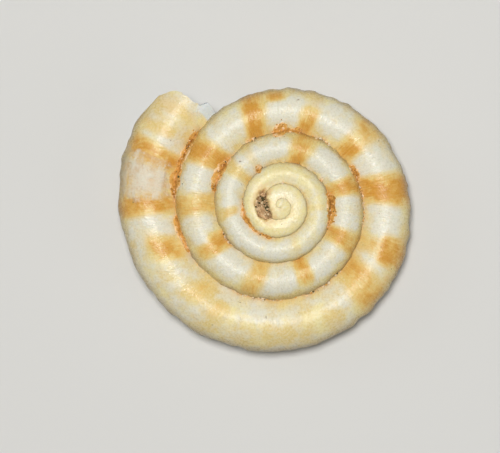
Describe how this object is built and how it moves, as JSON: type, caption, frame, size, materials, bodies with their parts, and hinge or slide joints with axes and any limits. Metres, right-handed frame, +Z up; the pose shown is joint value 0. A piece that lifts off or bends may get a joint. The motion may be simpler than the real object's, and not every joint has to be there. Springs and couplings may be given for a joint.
{
  "type": "land snail shell",
  "caption": "Flat-spired land snail shell, right-handed, with rounded flamed whorls, a broken lip and dried soil in its suture, lying on its base.",
  "frame": {"origin": "under the middle of the shell's bounding box, on the surface it lies on", "axes": "+Z up, with the apex up and leaning 4.3 degrees towards +X; seen from above the whorls grow clockwise and the mouth ends 125 degrees anticlockwise from +X"},
  "size_m": [0.0192, 0.0172, 0.0062],
  "materials": {
    "shell": "worn natural lime, cream white with orange-brown flames, low gloss",
    "dried_soil": "dry orange-brown soil crumbs, dull"
  },
  "bodies": {
    "root": {"shell": "shell", "outer_suture_soil_a": "dried_soil", "outer_suture_soil_b": "dried_soil", "outer_suture_soil_c": "dried_soil", "outer_suture_soil_d": "dried_soil", "middle_suture_soil_a": "dried_soil", "middle_suture_soil_b": "dried_soil", "middle_suture_soil_c": "dried_soil", "inner_suture_soil": "dried_soil", "apex_soil": "dried_soil"}
  },
  "joints": []
}
